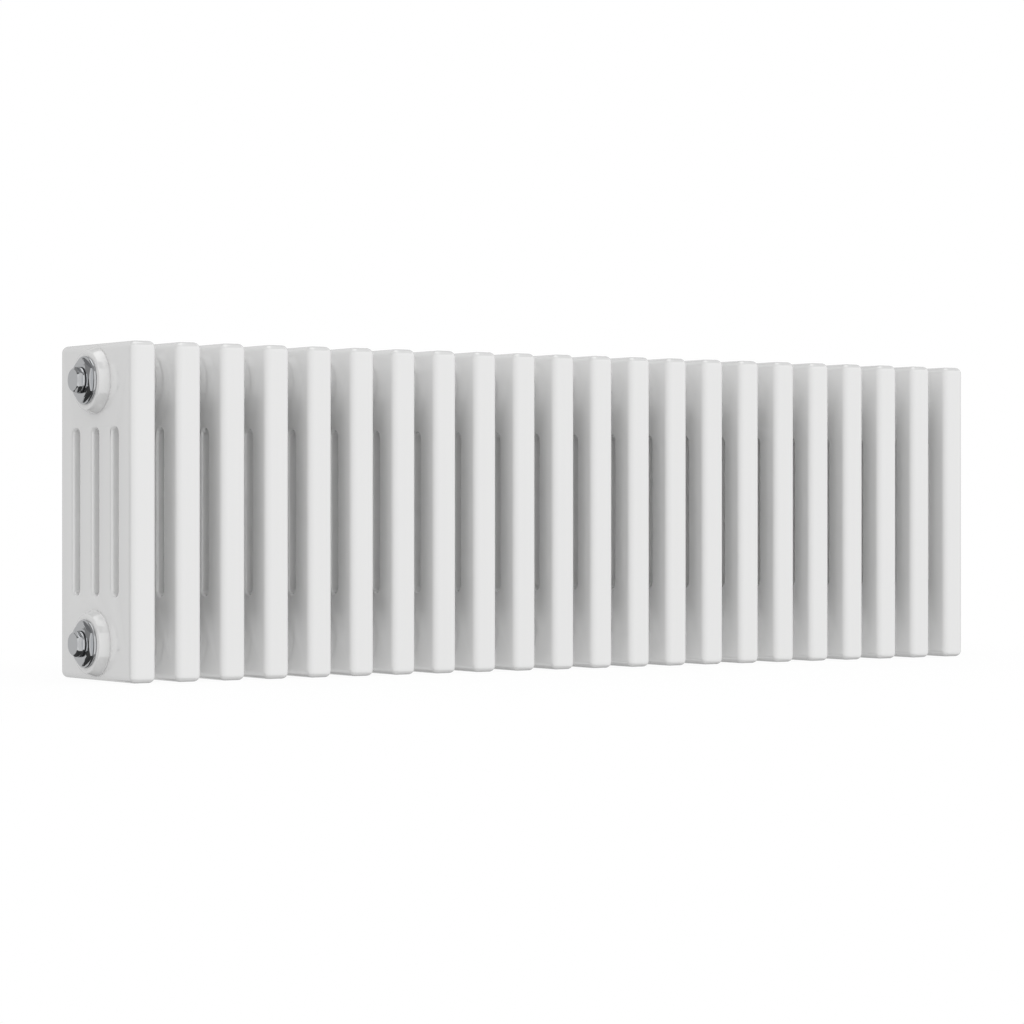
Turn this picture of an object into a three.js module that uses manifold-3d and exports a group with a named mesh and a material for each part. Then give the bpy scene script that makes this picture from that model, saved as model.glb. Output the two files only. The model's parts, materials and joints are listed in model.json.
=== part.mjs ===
// Low four-column radiator: a row of hollow cast sections, screwed together on hollow nipples
// through their upper and lower hubs. Reducing bushes close the row's four end hubs. Blanking
// plugs fill the two left bushes, an air-vent plug fills the upper right one, and the lower
// right one stays open as the pipe connection.
//
// Millimetres. X runs along the row, -Y is the room side, +Y the wall side, +Z is up.
// The origin is on the underside of the sections, in the middle of the row.

import * as THREE from 'three';
import { mergeVertices } from 'three/addons/utils/BufferGeometryUtils.js';
import Module from 'manifold-3d';

const wasm = await Module();
wasm.setup();

// ---- driving dimensions ---------------------------------------------------------------------

const SECTION_COUNT = 22;
const SECTION_PITCH = 45;
const SECTION_THICKNESS = 25;
const RADIATOR_DEPTH = 140;
const RADIATOR_HEIGHT = 300;
const EDGE_ROUND = 6;
const EDGE_FACETS = 1;
const CORNER_ROUND = 7;
const CASTING_WALL = 4;

const SLOT_WIDTH = 12;
const SLOT_LENGTH = 151;
const SLOT_SPACING = 37.4;
const SLOT_PLACES = [-SLOT_SPACING, 0, SLOT_SPACING];
const SLOT_END_FACETS = 3;

const HUB_HEIGHTS = { lower: 33, upper: 267 };
const HUB_BASE_RADIUS = 29.8;
const HUB_RIM_RADIUS = 26.2;
const HUB_LENGTH = 9.4;
const HUB_SIDES = 10;

// Threads are left plain: a thread is its mean diameter, with running room all round.
const HUB_THREAD_RADIUS = 16.3;
const PORT_THREAD_RADIUS = 10.3;
const HUB_THREAD_SIDES = 6;
const PORT_THREAD_SIDES = 12;
const CLEARANCE = 0.3;
const FACE_GAP = 0.2;

// Joined solids sink this far into each other, and cutters run this far past what they cut.
const OVERLAP = 1;

// Corners closer together than this become one.
const MERGE_DISTANCE = 1e-4;

const FLANGE_SIDES = 24;
const VENT_SIDES = 12;
const VENT_HOLE_SIDES = 6;

const NIPPLE_LENGTH = 26;
const NIPPLE_BORE_RADIUS = 12.6;
const NIPPLE_LUG_WIDTH = 3;
const NIPPLE_LUG_HEIGHT = 2.4;
const NIPPLE_LUG_INSET = 1;

const GASKET_THICKNESS = 0.7;
const GASKET_RADIUS = 21.1;
const GASKET_BORE_RADIUS = 19.2;
const GASKET_SIDES = 16;

const BUSH_FLANGE_RADIUS = 21.6;
const BUSH_FLANGE_THICKNESS = 1.5;
const BUSH_HEX_ACROSS_FLATS = 34.8;
const BUSH_HEX_THICKNESS = 3.1;
const BUSH_SHANK_LENGTH = 12;

const SEAL_THICKNESS = 0.6;
const SEAL_RADIUS = 11.4;
const SEAL_BORE_RADIUS = 10.7;

const PLUG_COLLAR_RADIUS = 12;
const PLUG_COLLAR_THICKNESS = 1.8;
const PLUG_HEX_ACROSS_FLATS = 20;
const PLUG_HEX_THICKNESS = 4.3;
const PLUG_SHANK_LENGTH = 12;
const HEX_CHAMFER_SLOPE = 0.55;
const HEX_FACE_SHARE = 0.97;

const VENT_RECESS_RADIUS = 5.2;
const VENT_RECESS_DEPTH = 4.6;
const VENT_STEM_RADIUS = 3.1;
const VENT_STEM_DEPTH = 8;
const VENT_ORIFICE_RADIUS = 1.2;
const VENT_OUTLET_RADIUS = 1;
const VENT_OUTLET_DEPTH = 2.4;
const SPINDLE_SQUARE = 5;
const SPINDLE_SQUARE_LENGTH = 3.9;
const SPINDLE_SLOT_WIDTH = 1.2;
const SPINDLE_SLOT_DEPTH = 1.2;
const SPINDLE_POINT_RADIUS = 0.9;
const SPINDLE_POINT_LENGTH = 1.5;

// ---- places along the row, outward from the last section's flat face ------------------------

const ROW_HALF_LENGTH = ((SECTION_COUNT - 1) * SECTION_PITCH + SECTION_THICKNESS) / 2;
const GASKET_START = HUB_LENGTH + FACE_GAP;
const FLANGE_START = GASKET_START + GASKET_THICKNESS + FACE_GAP;
const BUSH_HEX_START = FLANGE_START + BUSH_FLANGE_THICKNESS;
const BUSH_FACE = BUSH_HEX_START + BUSH_HEX_THICKNESS;
const SEAL_START = BUSH_FACE + FACE_GAP;
const COLLAR_START = SEAL_START + SEAL_THICKNESS + FACE_GAP;
const PLUG_HEX_START = COLLAR_START + PLUG_COLLAR_THICKNESS;
const PLUG_FACE = PLUG_HEX_START + PLUG_HEX_THICKNESS;

// ---- finishes -------------------------------------------------------------------------------

const enamel = () => new THREE.MeshStandardMaterial({ color: 0xf2f2f1, roughness: 0.18, metalness: 0 });
const chrome = () => new THREE.MeshStandardMaterial({ color: 0xc9cccf, roughness: 0.08, metalness: 1 });
const bareIron = () => new THREE.MeshStandardMaterial({ color: 0x6d6a66, roughness: 0.55, metalness: 1 });
const gasketFibre = () => new THREE.MeshStandardMaterial({ color: 0x3a3c3e, roughness: 0.8, metalness: 0 });
const brass = () => new THREE.MeshStandardMaterial({ color: 0xb9985a, roughness: 0.3, metalness: 1 });

// ---- solids ---------------------------------------------------------------------------------

/** Turns a closed three.js geometry into a solid that can be joined and cut. */
function solidOf(geometry) {
  geometry.deleteAttribute('normal');
  geometry.deleteAttribute('uv');
  const merged = mergeVertices(geometry, MERGE_DISTANCE);
  const corners = merged.index.array;
  const triangles = [];
  for (let i = 0; i < corners.length; i += 3) {
    const [a, b, c] = corners.slice(i, i + 3);
    if (a !== b && b !== c && c !== a) triangles.push(a, b, c);
  }
  return new wasm.Manifold(new wasm.Mesh({
    numProp: 3,
    vertProperties: new Float32Array(merged.attributes.position.array),
    triVerts: new Uint32Array(triangles),
  }));
}

/** Turns a solid back into a geometry for a mesh. */
function geometryOf(solid) {
  const { vertProperties, triVerts } = solid.getMesh();
  const indexed = new THREE.BufferGeometry();
  indexed.setAttribute('position', new THREE.BufferAttribute(vertProperties, 3));
  indexed.setIndex(new THREE.BufferAttribute(triVerts, 1));
  const faceted = indexed.toNonIndexed();
  faceted.computeVertexNormals();
  return faceted;
}

/** Lays an outline drawn in Y and Z along X, from the plane x = start. */
function alongRow(outline, start, options) {
  const geometry = new THREE.ExtrudeGeometry(outline, { bevelEnabled: false, ...options });
  const rowBasis = new THREE.Matrix4().makeBasis(
    new THREE.Vector3(0, 1, 0), new THREE.Vector3(0, 0, 1), new THREE.Vector3(1, 0, 0));
  return solidOf(geometry.applyMatrix4(rowBasis).translate(start, 0, 0));
}

/** Turns a profile of [x, radius] pairs about the X axis; the profile runs towards +X. */
function turned(profile, sides) {
  const points = profile.map(([x, radius]) => new THREE.Vector2(radius, x));
  return solidOf(new THREE.LatheGeometry(points, sides).rotateZ(-Math.PI / 2));
}

/** A regular polygon, measured across its flats, with a flat facing the room. */
function polygon(sides, acrossFlats) {
  const shape = new THREE.Shape();
  const radius = acrossFlats / 2 / Math.cos(Math.PI / sides);
  for (let i = 0; i < sides; i += 1) {
    const angle = (2 * i + 1) * Math.PI / sides;
    const point = [radius * Math.cos(angle), radius * Math.sin(angle)];
    if (i === 0) shape.moveTo(...point);
    else shape.lineTo(...point);
  }
  shape.closePath();
  return shape;
}

/** A polygonal bar about the X axis between two places. */
function bar(sides, radius, from, to) {
  return alongRow(polygon(sides, 2 * radius), from, { depth: to - from });
}

/** A hexagon whose corners are turned off by a cone at its outer face. */
function hexHead(acrossFlats, from, to) {
  const cornerRadius = acrossFlats / Math.sqrt(3) + CLEARANCE;
  const faceRadius = acrossFlats / 2 * HEX_FACE_SHARE;
  const chamfer = (cornerRadius - faceRadius) * HEX_CHAMFER_SLOPE;
  const cone = turned([
    [from, 0], [from, cornerRadius], [to - chamfer, cornerRadius], [to, faceRadius], [to, 0],
  ], FLANGE_SIDES);
  return bar(6, acrossFlats / 2, from, to).intersect(cone);
}

// ---- sections -------------------------------------------------------------------------------

/** A rectangle with round corners, centred on the section. */
function roundedRectangle(width, height, radius) {
  const right = width / 2 - radius;
  const top = height / 2 - radius;
  const shape = new THREE.Shape();
  shape.absarc(right, top, radius, 0, Math.PI / 2);
  shape.absarc(-right, top, radius, Math.PI / 2, Math.PI);
  shape.absarc(-right, -top, radius, Math.PI, 1.5 * Math.PI);
  shape.absarc(right, -top, radius, 1.5 * Math.PI, 2 * Math.PI);
  shape.closePath();
  return shape;
}

/** The slab with its edges rounded, as thick as the section. */
function sectionSlab() {
  const outline = roundedRectangle(RADIATOR_DEPTH, RADIATOR_HEIGHT, CORNER_ROUND);
  return alongRow(outline, -SECTION_THICKNESS / 2 + EDGE_ROUND, {
    depth: SECTION_THICKNESS - 2 * EDGE_ROUND,
    curveSegments: 1,
    bevelEnabled: true,
    bevelThickness: EDGE_ROUND,
    bevelSize: EDGE_ROUND,
    bevelOffset: -EDGE_ROUND,
    bevelSegments: EDGE_FACETS,
  });
}

/** One of the slots between the columns, right through the slab. */
function columnSlot() {
  const reach = (SLOT_LENGTH - SLOT_WIDTH) / 2;
  const points = [];
  for (const end of [1, -1]) {
    for (let i = 0; i <= SLOT_END_FACETS; i += 1) {
      const angle = Math.PI * i / SLOT_END_FACETS;
      const across = end * SLOT_WIDTH / 2 * Math.cos(angle);
      points.push(new THREE.Vector2(across, end * (reach + SLOT_WIDTH / 2 * Math.sin(angle))));
    }
  }
  const length = SECTION_THICKNESS + 2 * OVERLAP;
  return alongRow(new THREE.Shape(points), -length / 2, { depth: length });
}

/** The waterway: upper and lower headers joined by four columns, a casting wall inside. */
function waterway() {
  const walls = 2 * CASTING_WALL;
  let cavity = solidOf(new THREE.BoxGeometry(
    SECTION_THICKNESS - walls, RADIATOR_DEPTH - walls, RADIATOR_HEIGHT - walls));
  for (const y of SLOT_PLACES) {
    const island = new THREE.BoxGeometry(
      SECTION_THICKNESS, SLOT_WIDTH + walls, SLOT_LENGTH + walls);
    cavity = cavity.subtract(solidOf(island.translate(0, y, 0)));
  }
  return cavity;
}

/** A hub: a boss tapering away from each face of the slab, about the X axis. */
function hub() {
  const face = SECTION_THICKNESS / 2;
  const rim = face + HUB_LENGTH;
  return turned([
    [-rim, 0], [-rim, HUB_RIM_RADIUS], [-face, HUB_BASE_RADIUS],
    [face, HUB_BASE_RADIUS], [rim, HUB_RIM_RADIUS], [rim, 0],
  ], HUB_SIDES);
}

/** One whole hollow section, centred on the middle of its slab. */
function sectionSolid() {
  const boreEnd = SECTION_THICKNESS / 2 + HUB_LENGTH + OVERLAP;
  const bore = bar(HUB_THREAD_SIDES, HUB_THREAD_RADIUS, -boreEnd, boreEnd);
  const hubOffsets = Object.values(HUB_HEIGHTS).map((height) => height - RADIATOR_HEIGHT / 2);
  let solid = sectionSlab();
  for (const z of hubOffsets) solid = solid.add(hub().translate([0, 0, z]));
  for (const y of SLOT_PLACES) {
    solid = solid.subtract(columnSlot().translate([0, y, 0]));
  }
  solid = solid.subtract(waterway());
  for (const z of hubOffsets) solid = solid.subtract(bore.translate([0, 0, z]));
  return solid;
}

// ---- nipples --------------------------------------------------------------------------------

/** All the nipples of one hub line, held in a row by the lug that a nipple key turns. */
function nippleRun() {
  const gaps = SECTION_COUNT - 1;
  const outerRadius = HUB_THREAD_RADIUS - CLEARANCE;
  const tube = bar(HUB_THREAD_SIDES, outerRadius, -NIPPLE_LENGTH / 2, NIPPLE_LENGTH / 2)
    .subtract(bar(HUB_THREAD_SIDES, NIPPLE_BORE_RADIUS, -NIPPLE_LENGTH, NIPPLE_LENGTH));
  const lugLength = (gaps - 1) * SECTION_PITCH + NIPPLE_LENGTH - 2 * NIPPLE_LUG_INSET;
  const lugMiddle = NIPPLE_BORE_RADIUS + (outerRadius - NIPPLE_BORE_RADIUS) / 2 - NIPPLE_LUG_HEIGHT / 2;
  const lug = new THREE.BoxGeometry(lugLength, NIPPLE_LUG_WIDTH, NIPPLE_LUG_HEIGHT);
  let run = solidOf(lug.translate(0, 0, -lugMiddle));
  for (let i = 0; i < gaps; i += 1) {
    const x = (i - (gaps - 1) / 2) * SECTION_PITCH;
    run = run.add(tube.translate([x, 0, 0]));
  }
  return run;
}

// ---- end fittings, each drawn pointing along +X from the last section's flat face -----------

/** A flat ring between two faces. */
function ring(outerRadius, innerRadius, from, to, sides) {
  return turned([
    [from, innerRadius], [from, outerRadius], [to, outerRadius], [to, innerRadius], [from, innerRadius],
  ], sides);
}

/** The fibre ring between a hub's rim and a bush. */
function bushGasket() {
  return ring(GASKET_RADIUS, GASKET_BORE_RADIUS, GASKET_START, GASKET_START + GASKET_THICKNESS, GASKET_SIDES);
}

/** A reducing bush: threaded shank, round flange, shallow hexagon, and a port right through. */
function reducingBush() {
  const shank = bar(HUB_THREAD_SIDES, HUB_THREAD_RADIUS - CLEARANCE,
    FLANGE_START - BUSH_SHANK_LENGTH, FLANGE_START + OVERLAP);
  const flange = turned([
    [FLANGE_START, 0], [FLANGE_START, BUSH_FLANGE_RADIUS],
    [BUSH_HEX_START, BUSH_FLANGE_RADIUS], [BUSH_HEX_START, 0],
  ], FLANGE_SIDES);
  const hex = hexHead(BUSH_HEX_ACROSS_FLATS, BUSH_HEX_START - OVERLAP, BUSH_FACE);
  const port = bar(PORT_THREAD_SIDES, PORT_THREAD_RADIUS, -BUSH_SHANK_LENGTH, BUSH_FACE + OVERLAP);
  return shank.add(flange).add(hex).subtract(port);
}

/** The seal ring under a plug's collar. */
function plugSeal() {
  return ring(SEAL_RADIUS, SEAL_BORE_RADIUS, SEAL_START, SEAL_START + SEAL_THICKNESS, PORT_THREAD_SIDES);
}

/** A blanking plug: threaded shank, thin round collar and a small hexagon head. */
function blankingPlug() {
  const shankRadius = PORT_THREAD_RADIUS - CLEARANCE;
  const shank = bar(PORT_THREAD_SIDES, shankRadius,
    COLLAR_START - PLUG_SHANK_LENGTH, COLLAR_START + OVERLAP);
  const collar = turned([
    [COLLAR_START, 0], [COLLAR_START, PLUG_COLLAR_RADIUS],
    [PLUG_HEX_START, PLUG_COLLAR_RADIUS], [PLUG_HEX_START, 0],
  ], FLANGE_SIDES);
  const hex = hexHead(PLUG_HEX_ACROSS_FLATS, PLUG_HEX_START - OVERLAP, PLUG_FACE);
  return shank.add(collar).add(hex);
}

/** The plug with an air vent: a key recess, a stem bore, an orifice and an outlet below. */
function ventPlug() {
  const recessFloor = PLUG_FACE - VENT_RECESS_DEPTH;
  const stemFloor = recessFloor - VENT_STEM_DEPTH;
  const shankEnd = COLLAR_START - PLUG_SHANK_LENGTH;
  const recess = bar(VENT_SIDES, VENT_RECESS_RADIUS, recessFloor, PLUG_FACE + OVERLAP);
  const stemBore = bar(VENT_SIDES, VENT_STEM_RADIUS, stemFloor, PLUG_FACE);
  const orifice = bar(VENT_HOLE_SIDES, VENT_ORIFICE_RADIUS, shankEnd - OVERLAP, PLUG_FACE);
  const outlet = new THREE.CylinderGeometry(
    VENT_OUTLET_RADIUS, VENT_OUTLET_RADIUS, PLUG_HEX_ACROSS_FLATS, VENT_HOLE_SIDES);
  outlet.rotateX(Math.PI / 2);
  outlet.translate(PLUG_FACE - VENT_OUTLET_DEPTH, 0, -PLUG_HEX_ACROSS_FLATS / 2);
  return blankingPlug().subtract(recess).subtract(stemBore).subtract(orifice).subtract(solidOf(outlet));
}

/** The bleed spindle: a slotted square end, a round stem and a pointed seat. */
function ventSpindle() {
  const squareStart = PLUG_FACE - VENT_RECESS_DEPTH + CLEARANCE;
  const squareEnd = squareStart + SPINDLE_SQUARE_LENGTH;
  const stemRadius = VENT_STEM_RADIUS - CLEARANCE;
  const stemEnd = squareStart + OVERLAP;
  const stemStart = PLUG_FACE - VENT_RECESS_DEPTH - VENT_STEM_DEPTH + CLEARANCE;
  const stem = turned([
    [stemStart, 0], [stemStart, SPINDLE_POINT_RADIUS],
    [stemStart + SPINDLE_POINT_LENGTH, stemRadius], [stemEnd, stemRadius], [stemEnd, 0],
  ], VENT_SIDES);
  const square = bar(4, SPINDLE_SQUARE / 2, squareStart, squareEnd);
  const slot = new THREE.BoxGeometry(2 * SPINDLE_SLOT_DEPTH, SPINDLE_SLOT_WIDTH, 2 * SPINDLE_SQUARE);
  return stem.add(square).subtract(solidOf(slot.translate(squareEnd, 0, 0)));
}

// ---- assembly -------------------------------------------------------------------------------

const radiator = new THREE.Group();

/** Adds a named mesh to the radiator and returns it, for placing. */
function addPart(name, solid, material) {
  const mesh = new THREE.Mesh(geometryOf(solid), material);
  mesh.name = name;
  radiator.add(mesh);
  return mesh;
}

/** Places a part that was drawn at a right-hand end on one end of one hub line. */
function placeAtEnd(mesh, side, level) {
  mesh.position.set(side * ROW_HALF_LENGTH, 0, HUB_HEIGHTS[level]);
  mesh.rotation.z = side > 0 ? 0 : Math.PI;
}

function addSections() {
  const solid = sectionSolid();
  for (let i = 0; i < SECTION_COUNT; i += 1) {
    const number = String(i + 1).padStart(2, '0');
    const mesh = addPart(`section_${number}`, solid, enamel());
    mesh.position.x = (i - (SECTION_COUNT - 1) / 2) * SECTION_PITCH;
    mesh.position.z = RADIATOR_HEIGHT / 2;
  }
}

function addNipples() {
  const solid = nippleRun();
  for (const level of ['upper', 'lower']) {
    addPart(`${level}_nipple_run`, solid, bareIron()).position.z = HUB_HEIGHTS[level];
  }
}

function addEndFittings() {
  const ends = { left: -1, right: 1 };
  for (const level of ['upper', 'lower']) {
    for (const [end, side] of Object.entries(ends)) {
      placeAtEnd(addPart(`${level}_${end}_bush_gasket`, bushGasket(), gasketFibre()), side, level);
      placeAtEnd(addPart(`${level}_${end}_bush`, reducingBush(), chrome()), side, level);
    }
    placeAtEnd(addPart(`${level}_left_plug_seal`, plugSeal(), gasketFibre()), ends.left, level);
    placeAtEnd(addPart(`${level}_left_plug`, blankingPlug(), chrome()), ends.left, level);
  }
  placeAtEnd(addPart('vent_plug_seal', plugSeal(), gasketFibre()), ends.right, 'upper');
  placeAtEnd(addPart('vent_plug', ventPlug(), chrome()), ends.right, 'upper');
  placeAtEnd(addPart('vent_spindle', ventSpindle(), brass()), ends.right, 'upper');
}

addSections();
addNipples();
addEndFittings();

export default radiator;
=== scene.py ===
"""A low four-column radiator in white enamel, with chrome end fittings, in a plain studio.

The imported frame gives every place. Each sub-assembly is a class that models one pattern piece
at a working origin, copies it to the places that the frame gives, and dresses the copies in
their finishes. Lengths are in metres. +X runs along the row, -Y faces the room, +Z is up.
"""

import json
import logging
import math
from collections.abc import Callable, Mapping, Sequence
from dataclasses import dataclass, field
from enum import Enum
from functools import cache
from typing import Any

import bpy
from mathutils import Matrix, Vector

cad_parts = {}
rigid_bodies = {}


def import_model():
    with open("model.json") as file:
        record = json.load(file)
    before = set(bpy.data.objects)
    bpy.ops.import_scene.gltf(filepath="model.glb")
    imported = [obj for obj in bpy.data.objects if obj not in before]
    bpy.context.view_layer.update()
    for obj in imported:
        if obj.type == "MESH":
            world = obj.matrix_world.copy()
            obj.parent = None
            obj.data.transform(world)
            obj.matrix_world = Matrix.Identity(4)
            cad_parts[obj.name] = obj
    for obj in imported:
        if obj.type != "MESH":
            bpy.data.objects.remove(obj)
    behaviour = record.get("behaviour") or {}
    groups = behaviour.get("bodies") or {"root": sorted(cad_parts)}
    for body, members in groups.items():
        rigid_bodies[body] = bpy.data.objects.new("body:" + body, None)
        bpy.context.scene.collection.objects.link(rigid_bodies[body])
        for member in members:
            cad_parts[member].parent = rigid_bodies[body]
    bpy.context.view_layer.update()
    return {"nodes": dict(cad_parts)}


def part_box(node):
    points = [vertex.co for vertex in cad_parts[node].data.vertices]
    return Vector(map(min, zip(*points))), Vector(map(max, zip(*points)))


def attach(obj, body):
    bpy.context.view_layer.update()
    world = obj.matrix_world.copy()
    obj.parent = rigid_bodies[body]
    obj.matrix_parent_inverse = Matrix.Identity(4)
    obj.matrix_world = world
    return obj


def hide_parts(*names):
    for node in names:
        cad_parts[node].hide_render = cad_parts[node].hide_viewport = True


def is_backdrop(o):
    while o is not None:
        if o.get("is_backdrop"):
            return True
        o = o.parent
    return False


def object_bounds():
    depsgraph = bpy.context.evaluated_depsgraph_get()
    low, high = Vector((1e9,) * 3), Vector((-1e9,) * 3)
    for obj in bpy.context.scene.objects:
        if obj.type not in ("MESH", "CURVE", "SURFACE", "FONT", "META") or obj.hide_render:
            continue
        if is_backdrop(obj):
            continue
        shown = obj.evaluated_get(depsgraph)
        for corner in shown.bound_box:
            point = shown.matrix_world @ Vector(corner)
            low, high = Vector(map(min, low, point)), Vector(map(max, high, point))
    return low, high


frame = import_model()

LOG = logging.getLogger("radiator")
BODY = "radiator"
WHITE = (1.0, 1.0, 1.0, 1.0)

Pair = tuple[float, float]
Triple = tuple[float, float, float]
Colour = Triple
Profile = Sequence[Pair]

# The least X of a normal that belongs to an end face.
FACING_X = 0.9
# Two places closer than this count as one.
TOUCH = 1e-5
# How far a cutter runs past what it cuts.
OVERRUN = 0.002
# A ridge of a thread is full from one of these shares of its pitch to the other.
RIDGE_RISE = 0.44
RIDGE_FALL = 0.56


class Level(Enum):
    """The two hub lines of the row."""

    UPPER = "upper"
    LOWER = "lower"


class End(Enum):
    """The two ends of the row, and which way each faces along X."""

    LEFT = -1
    RIGHT = 1

    @property
    def word(self) -> str:
        """The end's name as node names spell it."""
        return self.name.lower()


class Shape(Enum):
    """How one solid acts on another."""

    JOIN = "UNION"
    CUT = "DIFFERENCE"
    KEEP = "INTERSECT"


# ---- shader expressions ---------------------------------------------------------------------


class Value:
    """A number in a shader that takes part in Python arithmetic."""

    def __init__(self, recipe: "Recipe", socket: bpy.types.NodeSocket) -> None:
        """Wraps a socket.

        Args:
            recipe: the material that the socket belongs to.
            socket: the output socket that carries the number.
        """
        self.recipe = recipe
        self.socket = socket

    def _math(self, operation: str, *terms: "Value | float") -> "Value":
        """Adds one Math node.

        Args:
            operation: the Math node's operation.
            terms: its inputs, in order.

        Returns:
            The node's result.
        """
        sockets = dict(enumerate(terms))
        return self.recipe.node("ShaderNodeMath", {"operation": operation}, sockets).out(0)

    def __add__(self, other: "Value | float") -> "Value":
        """Returns self + other."""
        return self._math("ADD", self, other)

    __radd__ = __add__

    def __sub__(self, other: "Value | float") -> "Value":
        """Returns self - other."""
        return self._math("SUBTRACT", self, other)

    def __rsub__(self, other: float) -> "Value":
        """Returns other - self."""
        return self._math("SUBTRACT", other, self)

    def __mul__(self, other: "Value | float") -> "Value":
        """Returns self * other."""
        return self._math("MULTIPLY", self, other)

    __rmul__ = __mul__

    def __pow__(self, exponent: float) -> "Value":
        """Returns self to the power of exponent."""
        return self._math("POWER", self, exponent)

    def rises(self, low: float, high: float) -> "Value":
        """Returns 0 below low and 1 above high, with a smooth rise between."""
        sockets = {"Value": self, "From Min": low, "From Max": high}
        settings = {"interpolation_type": "SMOOTHSTEP"}
        return self.recipe.node("ShaderNodeMapRange", settings, sockets).out(0)


class Made:
    """A shader node with its outputs at hand."""

    def __init__(self, recipe: "Recipe", node: bpy.types.ShaderNode) -> None:
        """Wraps a node.

        Args:
            recipe: the material that the node belongs to.
            node: the node.
        """
        self.recipe = recipe
        self.node = node

    def out(self, key: int | str) -> Value:
        """Returns one of the node's outputs."""
        return Value(self.recipe, self.node.outputs[key])


class Recipe:
    """A node tree that is written as Python expressions."""

    def __init__(self, tree: bpy.types.NodeTree) -> None:
        """Starts from an empty tree.

        Args:
            tree: the node tree of a material or a world.
        """
        self.tree = tree
        tree.nodes.clear()

    def node(self, kind: str, settings: Mapping[str, Any] | None = None,
             sockets: Mapping[int | str, Any] | None = None) -> Made:
        """Adds a node.

        Args:
            kind: the node's type.
            settings: its own settings, set before its inputs.
            sockets: values or links for its inputs.

        Returns:
            The new node.
        """
        made = self.tree.nodes.new(kind)
        for name, value in (settings or {}).items():
            setattr(made, name, value)
        for key, value in (sockets or {}).items():
            if isinstance(value, Value):
                self.tree.links.new(value.socket, made.inputs[key])
            else:
                made.inputs[key].default_value = value
        return Made(self, made)

    def place(self, scale: Sequence[float] = (1.0, 1.0, 1.0)) -> Value:
        """Returns the point on the object, in metres, stretched along its axes."""
        where = self.node("ShaderNodeTexCoord").out("Object")
        return self.node("ShaderNodeMapping", {}, {"Vector": where, "Scale": scale}).out(0)

    def noise(self, per_metre: float, detail: float = 2.0,
              scale: Sequence[float] = (1.0, 1.0, 1.0)) -> Value:
        """Returns soft noise from 0 to 1, with so many cells per metre."""
        sockets = {"Vector": self.place(scale), "Scale": per_metre, "Detail": detail}
        return self.node("ShaderNodeTexNoise", {}, sockets).out(0)

    def blend(self, factor: Value, low: Sequence[float], high: Sequence[float]) -> Value:
        """Returns a colour between two colours."""
        sockets = {"Factor": factor, "A": (*low, 1.0), "B": (*high, 1.0)}
        made = self.node("ShaderNodeMix", {"data_type": "RGBA"})
        for key, value in sockets.items():
            socket = next(s for s in made.node.inputs if s.name == key and s.enabled)
            if isinstance(value, Value):
                self.tree.links.new(value.socket, socket)
            else:
                socket.default_value = value
        return Value(self, next(s for s in made.node.outputs if s.enabled))

    def bump(self, height: Value, depth: float) -> Value:
        """Returns a normal that follows a height, which is depth metres at 1."""
        sockets = {"Height": height, "Distance": depth, "Strength": 1.0}
        return self.node("ShaderNodeBump", {}, sockets).out(0)


# ---- finishes -------------------------------------------------------------------------------


@dataclass(frozen=True)
class Finish:
    """A surface finish: its name, its slot in the record, and how its material is mixed."""

    name: str
    slot: str

    @cache
    def material(self) -> bpy.types.Material:
        """Returns the finish's material, made the first time it is asked for."""
        made = bpy.data.materials.new(self.name)
        made.use_nodes = True
        recipe = Recipe(made.node_tree)
        surface = recipe.node("ShaderNodeBsdfPrincipled", {}, self.sockets(recipe)).out(0)
        recipe.node("ShaderNodeOutputMaterial", {}, {"Surface": surface})
        return made

    def sockets(self, recipe: Recipe) -> dict[str, Any]:
        """Returns the values and links of the surface shader's sockets."""
        raise NotImplementedError


@dataclass(frozen=True)
class Enamel(Finish):
    """Glossy stoved enamel: a clear coat over white, with the faint waviness of a casting."""

    name: str = "glossy_enamel"
    slot: str = "white_enamel"
    white: Colour = (0.905, 0.905, 0.903)
    shaded_white: Colour = (0.89, 0.89, 0.886)
    clouds_per_metre: float = 9.0
    least_roughness: float = 0.07
    cloud_roughness: float = 0.06
    ior: float = 1.5
    coat_ior: float = 1.9
    coat_roughness: float = 0.015
    peel_per_metre: float = 420.0
    peel_depth: float = 0.000004
    wave_per_metre: float = 26.0
    wave_depth: float = 0.00003

    def sockets(self, recipe: Recipe) -> dict[str, Any]:
        """Returns the values and links of the surface shader's sockets."""
        clouds = recipe.noise(self.clouds_per_metre, detail=3.0)
        peel = recipe.noise(self.peel_per_metre, detail=1.0)
        waves = recipe.noise(self.wave_per_metre, detail=1.0)
        height = peel * self.peel_depth + waves * self.wave_depth
        return {
            "Base Color": recipe.blend(clouds, self.shaded_white, self.white),
            "Roughness": self.least_roughness + clouds * self.cloud_roughness,
            "IOR": self.ior,
            "Coat Weight": 1.0,
            "Coat IOR": self.coat_ior,
            "Coat Roughness": self.coat_roughness,
            "Normal": recipe.bump(height, 1.0),
        }


@dataclass(frozen=True)
class Chrome(Finish):
    """Polished chrome plate with a trace of polishing haze."""

    name: str = "polished_chrome"
    slot: str = "chrome"
    bright: Colour = (0.71, 0.72, 0.735)
    hazy: Colour = (0.67, 0.68, 0.695)
    haze_per_metre: float = 160.0
    least_roughness: float = 0.03
    haze_roughness: float = 0.04
    brushing_per_metre: float = 700.0
    brushing_stretch: Triple = (0.15, 1.0, 1.0)
    brushing_depth: float = 0.000002

    def sockets(self, recipe: Recipe) -> dict[str, Any]:
        """Returns the values and links of the surface shader's sockets."""
        haze = recipe.noise(self.haze_per_metre, detail=4.0)
        brushing = recipe.noise(self.brushing_per_metre, scale=self.brushing_stretch)
        return {
            "Base Color": recipe.blend(haze, self.hazy, self.bright),
            "Metallic": 1.0,
            "Roughness": self.least_roughness + haze * self.haze_roughness,
            "Normal": recipe.bump(brushing, self.brushing_depth),
        }


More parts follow.
